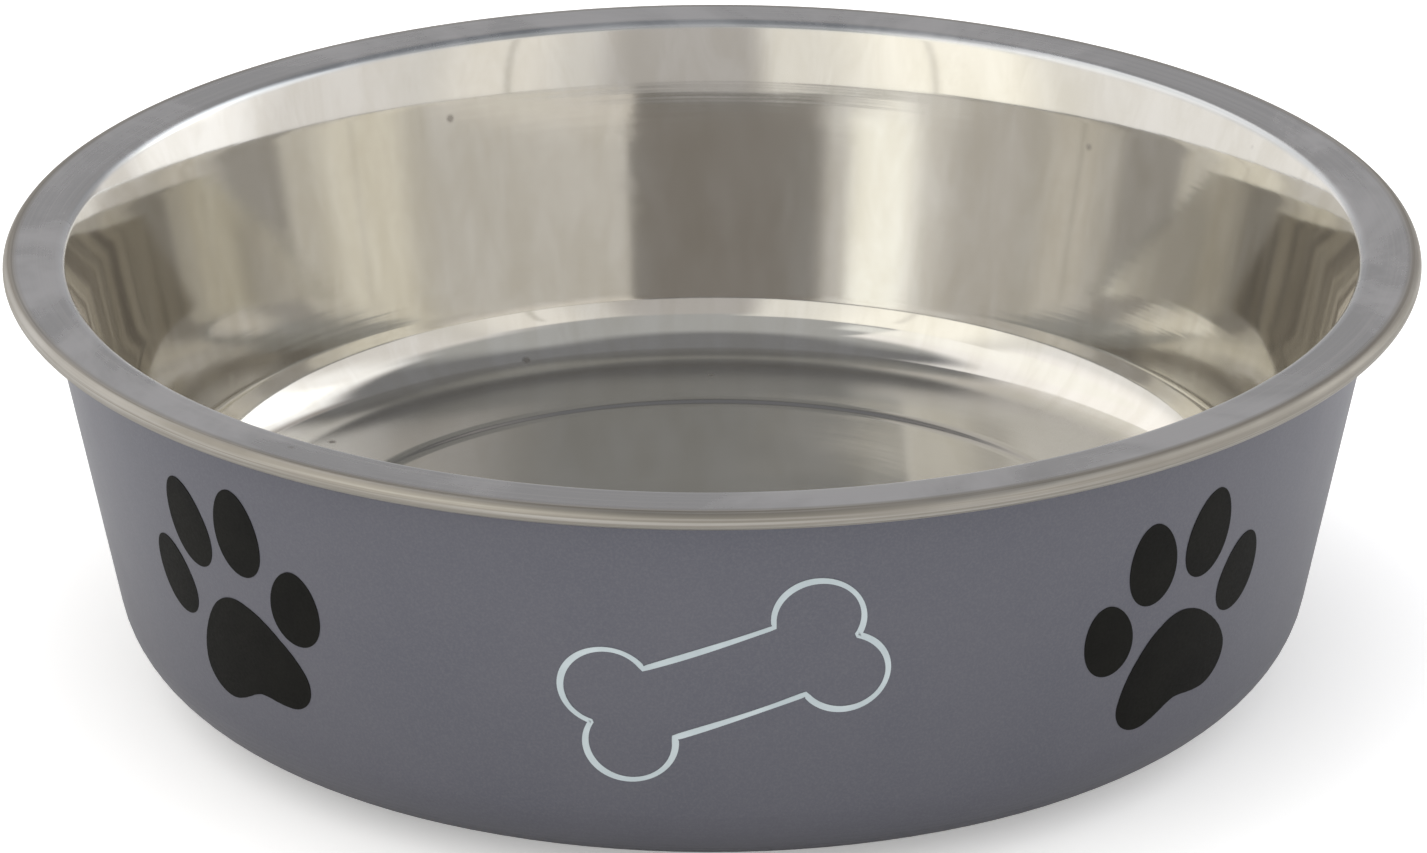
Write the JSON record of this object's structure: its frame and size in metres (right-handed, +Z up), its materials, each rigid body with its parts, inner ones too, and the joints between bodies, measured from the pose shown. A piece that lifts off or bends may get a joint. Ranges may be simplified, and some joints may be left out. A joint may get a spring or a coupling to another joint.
{
  "type": "dog bowl",
  "caption": "Round pet bowl: pressed steel liner with a wide flat rim and rolled edge in a tapered moulded jacket with a rounded base corner and a rubber base ring.",
  "frame": {"origin": "centre of the bowl on the table that it stands on", "axes": "+Z up along the bowl's axis, -Y towards the side with the printed bone"},
  "size_m": [0.21, 0.21, 0.065],
  "materials": {
    "steel": "polished inside, satin on the flange and the floor",
    "jacket": "satin metallic grey coat",
    "adhesive": "cured adhesive",
    "base_rubber": "matt moulded rubber",
    "print_dark": "dark printing ink",
    "print_pale": "pale printing ink"
  },
  "bodies": {
    "root": {"inner_bowl": "steel", "outer_jacket": "jacket", "adhesive_ring": "adhesive", "base_ring": "base_rubber"}
  },
  "joints": []
}
